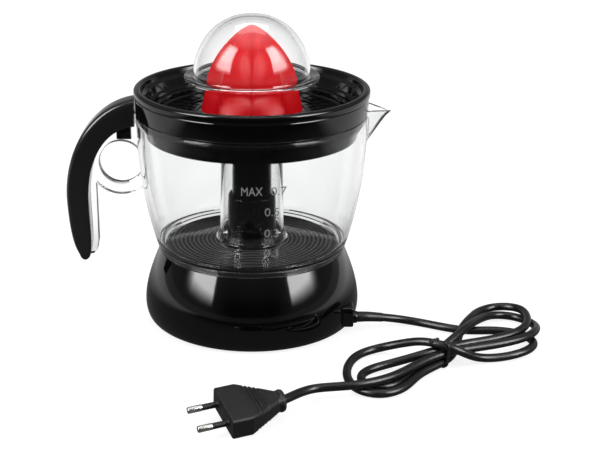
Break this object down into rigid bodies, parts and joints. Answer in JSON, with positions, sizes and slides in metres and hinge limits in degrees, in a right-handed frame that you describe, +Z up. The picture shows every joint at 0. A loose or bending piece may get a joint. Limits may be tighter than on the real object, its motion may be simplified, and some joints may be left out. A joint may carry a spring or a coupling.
{
  "type": "citrus press juicer",
  "caption": "Electric citrus press: fluted cone on a drive base, lift-out bowl and sieve over a clear jug with spout and handle, clear dust cover, mains cord.",
  "frame": {"origin": "axis of the base, tower and cone at the level of the worktop the feet stand on", "axes": "+Z up along the axis of the tower and the cone, +X towards the jug's spout, -X towards the handle, -Y towards a user who has the handle on the left"},
  "size_m": [0.3263, 0.2662, 0.2136],
  "materials": {
    "black_gloss": "moulded, polished",
    "black_matt": "moulded, fine grain",
    "rubber": "moulded rubber",
    "cord_sheath": "extruded flexible sheath",
    "steel": "pressed and zinc plated",
    "nickel": "nickel plated",
    "winding": "enamelled wire on a bobbin",
    "magnet": "sintered",
    "gear_plastic": "moulded acetal",
    "bronze": "sintered bush",
    "red_plastic": "moulded, polished",
    "clear_plastic": "clear moulding"
  },
  "bodies": {
    "base": {"base_housing": "black_gloss", "base_plate": "black_matt", "rubber_feet": "rubber", "base_screws": "steel", "gear_plate": "steel", "plate_screws": "steel", "motor_can": "steel", "motor_lid": "steel", "coil_bobbin": "winding", "gear_pin": "steel", "tower_bush": "bronze", "return_spring": "steel", "switch_body": "black_matt", "cord_gland": "black_matt", "cord_relief": "black_matt", "cord_lead": "cord_sheath", "cord_hank": "cord_sheath", "cord_tie": "black_matt", "cord_tail": "cord_sheath", "plug_body": "black_matt", "pin_sleeves": "black_matt", "plug_pins": "nickel"},
    "rotor": {"rotor_magnet": "magnet", "rotor_pinion": "gear_plastic"},
    "idler": {"idler_gear": "gear_plastic"},
    "output": {"output_gear": "gear_plastic"},
    "shaft": {"drive_shaft": "steel"},
    "plunger": {"switch_plunger": "red_plastic"},
    "jug": {"jug": "clear_plastic", "jug_chimney": "clear_plastic", "handle_web": "clear_plastic", "handle_cover": "black_gloss"},
    "bowl": {"juice_bowl": "black_gloss"},
    "strainer": {"sieve": "black_gloss"},
    "sleeve": {"drive_sleeve": "black_gloss", "sleeve_clip": "steel"},
    "spindle": {"spindle_head": "black_gloss"},
    "reamer": {"cone": "red_plastic"},
    "cover": {"dust_cover": "clear_plastic"}
  },
  "joints": [
    {"name": "jug_lift", "type": "slide", "parent": "base", "child": "jug", "axis": [0, 0, 1], "range_m": [0, 0.06]},
    {"name": "bowl_lift", "type": "slide", "parent": "jug", "child": "bowl", "axis": [0, 0, 1], "range_m": [0, 0.065]},
    {"name": "sieve_lift", "type": "slide", "parent": "bowl", "child": "strainer", "axis": [0, 0, 1], "range_m": [0, 0.08]},
    {"name": "cone_spin", "type": "hinge", "parent": "strainer", "child": "sleeve", "pos_m": [0, 0, 0.14], "axis": [0, 0, 1], "continuous": true},
    {"name": "cone_press", "type": "slide", "parent": "sleeve", "child": "spindle", "axis": [0, 0, 1], "range_m": [-0.002, 0], "stiffness_N_per_m": 1500, "springref_m": 0.006},
    {"name": "cone_lift", "type": "slide", "parent": "spindle", "child": "reamer", "axis": [0, 0, 1], "range_m": [0, 0.03]},
    {"name": "cover_lift", "type": "slide", "parent": "reamer", "child": "cover", "axis": [0, 0, 1], "range_m": [0, 0.045]},
    {"name": "output_spin", "type": "hinge", "parent": "base", "child": "output", "pos_m": [0, 0, 0.04], "axis": [0, 0, 1], "continuous": true},
    {"name": "shaft_press", "type": "slide", "parent": "output", "child": "shaft", "axis": [0, 0, 1], "range_m": [-0.002, 0], "deforming": ["return_spring"]},
    {"name": "idler_spin", "type": "hinge", "parent": "base", "child": "idler", "pos_m": [-0.028, 0, 0.034], "axis": [0, 0, 1], "continuous": true},
    {"name": "rotor_spin", "type": "hinge", "parent": "base", "child": "rotor", "pos_m": [-0.028, -0.024, 0.02], "axis": [0, 0, 1], "continuous": true},
    {"name": "plunger_press", "type": "slide", "parent": "base", "child": "plunger", "axis": [0, 0, 1], "range_m": [-0.002, 0]}
  ],
  "couplings": [
    {"joint": "output_spin", "follows": "cone_spin", "ratio": 1},
    {"joint": "idler_spin", "follows": "cone_spin", "ratio": -2.5},
    {"joint": "rotor_spin", "follows": "cone_spin", "ratio": 5},
    {"joint": "shaft_press", "follows": "cone_press", "ratio": 1},
    {"joint": "plunger_press", "follows": "cone_press", "ratio": 1}
  ]
}
